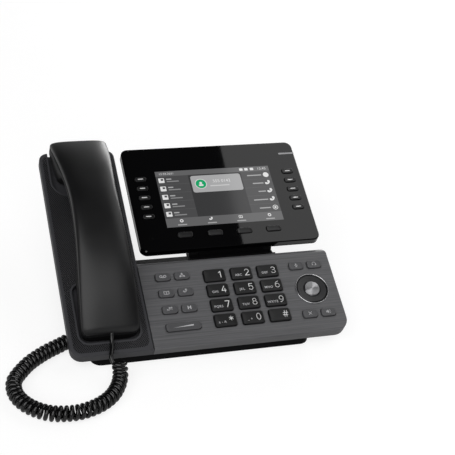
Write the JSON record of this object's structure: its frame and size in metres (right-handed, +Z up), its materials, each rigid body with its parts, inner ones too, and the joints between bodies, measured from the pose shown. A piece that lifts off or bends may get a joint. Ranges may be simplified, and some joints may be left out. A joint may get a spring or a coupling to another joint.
{
  "type": "desk ip phone",
  "caption": "Sloping desk phone with a handset on its cradle, number and function keys, a navigation dial, a colour display that tilts on a neck, and a coiled handset cord.",
  "frame": {"origin": "centre of the body's footprint, cord left out, at table height", "axes": "+X to the user's right, along the body's width; +Y away from the user; +Z up"},
  "size_m": [0.2982, 0.2553, 0.1128],
  "materials": {
    "handset_back": "satin moulded, near black",
    "handset_grip": "fine moulded grain, near black",
    "cradle_plastic": "charcoal, fine diamond texture",
    "keypad_plastic": "mid grey, brushed streaks",
    "housing_plastic": "fine moulded grain, black",
    "number_key": "satin, printed digits",
    "function_key": "satin grey, printed symbols",
    "nav_black": "satin gloss",
    "nav_chrome": "bright plated",
    "nav_metal": "spun",
    "display_gloss": "piano black",
    "display_key": "satin",
    "display_back": "fine grain",
    "screen": "dark panel",
    "rubber_pad": "matt",
    "screw_steel": "zinc plated",
    "pin_steel": "ground",
    "board": "green solder mask",
    "silicone": "translucent grey",
    "speaker_parts": "paper cone in a black frame",
    "capsule_parts": "pressed can",
    "cord_jacket": "glossy black jacket"
  },
  "bodies": {
    "base": {"lower_housing": "housing_plastic", "keypad_cover": "keypad_plastic", "cradle_cover": "cradle_plastic", "foot_stand": "housing_plastic", "rubber_feet": "rubber_pad", "housing_screws": "screw_steel", "main_board": "board", "keypad_mat": "silicone", "nav_trim_ring": "nav_chrome", "loudspeaker": "speaker_parts", "display_neck": "housing_plastic", "hinge_pins": "pin_steel", "cord_coil": "cord_jacket", "cord_tail": "cord_jacket"},
    "handset": {"handset_outer_shell": "handset_back", "handset_inner_shell": "handset_grip", "handset_capsules": "capsule_parts"},
    "hook": {"hook_switch": "housing_plastic"},
    "display": {"display_front": "display_gloss", "display_rear_cover": "display_back", "lcd_panel": "screen"},
    "key_1": {"key_1": "number_key"},
    "key_2": {"key_2": "number_key"},
    "key_3": {"key_3": "number_key"},
    "key_4": {"key_4": "number_key"},
    "key_5": {"key_5": "number_key"},
    "key_6": {"key_6": "number_key"},
    "key_7": {"key_7": "number_key"},
    "key_8": {"key_8": "number_key"},
    "key_9": {"key_9": "number_key"},
    "key_star": {"key_star": "number_key"},
    "key_0": {"key_0": "number_key"},
    "key_hash": {"key_hash": "number_key"},
    "key_voicemail": {"key_voicemail": "function_key"},
    "key_conference": {"key_conference": "function_key"},
    "key_directory": {"key_directory": "function_key"},
    "key_redial": {"key_redial": "function_key"},
    "key_transfer": {"key_transfer": "function_key"},
    "key_hold": {"key_hold": "function_key"},
    "key_mute": {"key_mute": "function_key"},
    "key_headset": {"key_headset": "function_key"},
    "key_cancel": {"key_cancel": "function_key"},
    "key_speaker": {"key_speaker": "function_key"},
    "line_key_left_1": {"line_key_left_1": "display_key"},
    "line_key_left_2": {"line_key_left_2": "display_key"},
    "line_key_left_3": {"line_key_left_3": "display_key"},
    "line_key_left_4": {"line_key_left_4": "display_key"},
    "line_key_left_5": {"line_key_left_5": "display_key"},
    "line_key_right_1": {"line_key_right_1": "display_key"},
    "line_key_right_2": {"line_key_right_2": "display_key"},
    "line_key_right_3": {"line_key_right_3": "display_key"},
    "line_key_right_4": {"line_key_right_4": "display_key"},
    "line_key_right_5": {"line_key_right_5": "display_key"},
    "soft_key_1": {"soft_key_1": "display_key"},
    "soft_key_2": {"soft_key_2": "display_key"},
    "soft_key_3": {"soft_key_3": "display_key"},
    "soft_key_4": {"soft_key_4": "display_key"},
    "volume_rocker": {"volume_key": "function_key"},
    "nav_ring": {"nav_ring": "nav_black"},
    "nav_ok": {"nav_ok": "nav_metal"}
  },
  "joints": [
    {"name": "handset_lift", "type": "slide", "parent": "base", "child": "handset", "axis": [0, -0.342, 0.9397], "range_m": [0, 0.12]},
    {"name": "hook_rise", "type": "slide", "parent": "base", "child": "hook", "axis": [0, -0.342, 0.9397], "range_m": [0, 0.0024]},
    {"name": "display_tilt", "type": "hinge", "parent": "base", "child": "display", "pos_m": [0.0374, -0.00064, 0.03811], "axis": [1, 0, 0], "range_deg": [0, 30]},
    {"name": "key_1_press", "type": "slide", "parent": "base", "child": "key_1", "axis": [0, 0.342, -0.9397], "range_m": [0, 0.001], "stiffness_N_per_m": 300},
    {"name": "key_2_press", "type": "slide", "parent": "base", "child": "key_2", "axis": [0, 0.342, -0.9397], "range_m": [0, 0.001], "stiffness_N_per_m": 300},
    {"name": "key_3_press", "type": "slide", "parent": "base", "child": "key_3", "axis": [0, 0.342, -0.9397], "range_m": [0, 0.001], "stiffness_N_per_m": 300},
    {"name": "key_4_press", "type": "slide", "parent": "base", "child": "key_4", "axis": [0, 0.342, -0.9397], "range_m": [0, 0.001], "stiffness_N_per_m": 300},
    {"name": "key_5_press", "type": "slide", "parent": "base", "child": "key_5", "axis": [0, 0.342, -0.9397], "range_m": [0, 0.001], "stiffness_N_per_m": 300},
    {"name": "key_6_press", "type": "slide", "parent": "base", "child": "key_6", "axis": [0, 0.342, -0.9397], "range_m": [0, 0.001], "stiffness_N_per_m": 300},
    {"name": "key_7_press", "type": "slide", "parent": "base", "child": "key_7", "axis": [0, 0.342, -0.9397], "range_m": [0, 0.001], "stiffness_N_per_m": 300},
    {"name": "key_8_press", "type": "slide", "parent": "base", "child": "key_8", "axis": [0, 0.342, -0.9397], "range_m": [0, 0.001], "stiffness_N_per_m": 300},
    {"name": "key_9_press", "type": "slide", "parent": "base", "child": "key_9", "axis": [0, 0.342, -0.9397], "range_m": [0, 0.001], "stiffness_N_per_m": 300},
    {"name": "key_star_press", "type": "slide", "parent": "base", "child": "key_star", "axis": [0, 0.342, -0.9397], "range_m": [0, 0.001], "stiffness_N_per_m": 300},
    {"name": "key_0_press", "type": "slide", "parent": "base", "child": "key_0", "axis": [0, 0.342, -0.9397], "range_m": [0, 0.001], "stiffness_N_per_m": 300},
    {"name": "key_hash_press", "type": "slide", "parent": "base", "child": "key_hash", "axis": [0, 0.342, -0.9397], "range_m": [0, 0.001], "stiffness_N_per_m": 300},
    {"name": "key_voicemail_press", "type": "slide", "parent": "base", "child": "key_voicemail", "axis": [0, 0.342, -0.9397], "range_m": [0, 0.001], "stiffness_N_per_m": 300},
    {"name": "key_conference_press", "type": "slide", "parent": "base", "child": "key_conference", "axis": [0, 0.342, -0.9397], "range_m": [0, 0.001], "stiffness_N_per_m": 300},
    {"name": "key_directory_press", "type": "slide", "parent": "base", "child": "key_directory", "axis": [0, 0.342, -0.9397], "range_m": [0, 0.001], "stiffness_N_per_m": 300},
    {"name": "key_redial_press", "type": "slide", "parent": "base", "child": "key_redial", "axis": [0, 0.342, -0.9397], "range_m": [0, 0.001], "stiffness_N_per_m": 300},
    {"name": "key_transfer_press", "type": "slide", "parent": "base", "child": "key_transfer", "axis": [0, 0.342, -0.9397], "range_m": [0, 0.001], "stiffness_N_per_m": 300},
    {"name": "key_hold_press", "type": "slide", "parent": "base", "child": "key_hold", "axis": [0, 0.342, -0.9397], "range_m": [0, 0.001], "stiffness_N_per_m": 300},
    {"name": "key_mute_press", "type": "slide", "parent": "base", "child": "key_mute", "axis": [0, 0.342, -0.9397], "range_m": [0, 0.001], "stiffness_N_per_m": 300},
    {"name": "key_headset_press", "type": "slide", "parent": "base", "child": "key_headset", "axis": [0, 0.342, -0.9397], "range_m": [0, 0.001], "stiffness_N_per_m": 300},
    {"name": "key_cancel_press", "type": "slide", "parent": "base", "child": "key_cancel", "axis": [0, 0.342, -0.9397], "range_m": [0, 0.001], "stiffness_N_per_m": 300},
    {"name": "key_speaker_press", "type": "slide", "parent": "base", "child": "key_speaker", "axis": [0, 0.342, -0.9397], "range_m": [0, 0.001], "stiffness_N_per_m": 300},
    {"name": "nav_ok_press", "type": "slide", "parent": "base", "child": "nav_ok", "axis": [0, 0.342, -0.9397], "range_m": [0, 0.001], "stiffness_N_per_m": 300},
    {"name": "line_key_left_1_press", "type": "slide", "parent": "display", "child": "line_key_left_1", "axis": [0, 0.342, -0.9397], "range_m": [0, 0.0006], "stiffness_N_per_m": 300},
    {"name": "line_key_left_2_press", "type": "slide", "parent": "display", "child": "line_key_left_2", "axis": [0, 0.342, -0.9397], "range_m": [0, 0.0006], "stiffness_N_per_m": 300},
    {"name": "line_key_left_3_press", "type": "slide", "parent": "display", "child": "line_key_left_3", "axis": [0, 0.342, -0.9397], "range_m": [0, 0.0006], "stiffness_N_per_m": 300},
    {"name": "line_key_left_4_press", "type": "slide", "parent": "display", "child": "line_key_left_4", "axis": [0, 0.342, -0.9397], "range_m": [0, 0.0006], "stiffness_N_per_m": 300},
    {"name": "line_key_left_5_press", "type": "slide", "parent": "display", "child": "line_key_left_5", "axis": [0, 0.342, -0.9397], "range_m": [0, 0.0006], "stiffness_N_per_m": 300},
    {"name": "line_key_right_1_press", "type": "slide", "parent": "display", "child": "line_key_right_1", "axis": [0, 0.342, -0.9397], "range_m": [0, 0.0006], "stiffness_N_per_m": 300},
    {"name": "line_key_right_2_press", "type": "slide", "parent": "display", "child": "line_key_right_2", "axis": [0, 0.342, -0.9397], "range_m": [0, 0.0006], "stiffness_N_per_m": 300},
    {"name": "line_key_right_3_press", "type": "slide", "parent": "display", "child": "line_key_right_3", "axis": [0, 0.342, -0.9397], "range_m": [0, 0.0006], "stiffness_N_per_m": 300},
    {"name": "line_key_right_4_press", "type": "slide", "parent": "display", "child": "line_key_right_4", "axis": [0, 0.342, -0.9397], "range_m": [0, 0.0006], "stiffness_N_per_m": 300},
    {"name": "line_key_right_5_press", "type": "slide", "parent": "display", "child": "line_key_right_5", "axis": [0, 0.342, -0.9397], "range_m": [0, 0.0006], "stiffness_N_per_m": 300},
    {"name": "soft_key_1_press", "type": "slide", "parent": "display", "child": "soft_key_1", "axis": [0, 0.342, -0.9397], "range_m": [0, 0.0006], "stiffness_N_per_m": 300},
    {"name": "soft_key_2_press", "type": "slide", "parent": "display", "child": "soft_key_2", "axis": [0, 0.342, -0.9397], "range_m": [0, 0.0006], "stiffness_N_per_m": 300},
    {"name": "soft_key_3_press", "type": "slide", "parent": "display", "child": "soft_key_3", "axis": [0, 0.342, -0.9397], "range_m": [0, 0.0006], "stiffness_N_per_m": 300},
    {"name": "soft_key_4_press", "type": "slide", "parent": "display", "child": "soft_key_4", "axis": [0, 0.342, -0.9397], "range_m": [0, 0.0006], "stiffness_N_per_m": 300},
    {"name": "volume_rock", "type": "hinge", "parent": "base", "child": "volume_rocker", "pos_m": [-0.0249, -0.08147, 0.02103], "axis": [0, 0.9397, 0.342], "range_deg": [-2, 2], "stiffness_Nm_per_rad": 0.5},
    {"name": "nav_ring_rock", "type": "hinge", "parent": "base", "child": "nav_ring", "pos_m": [0.0979, -0.0584, 0.02985], "axis": [1, 0, 0], "range_deg": [-2, 2], "stiffness_Nm_per_rad": 0.5}
  ],
  "couplings": [
    {"joint": "hook_rise", "follows": "handset_lift", "ratio": 0.02}
  ]
}
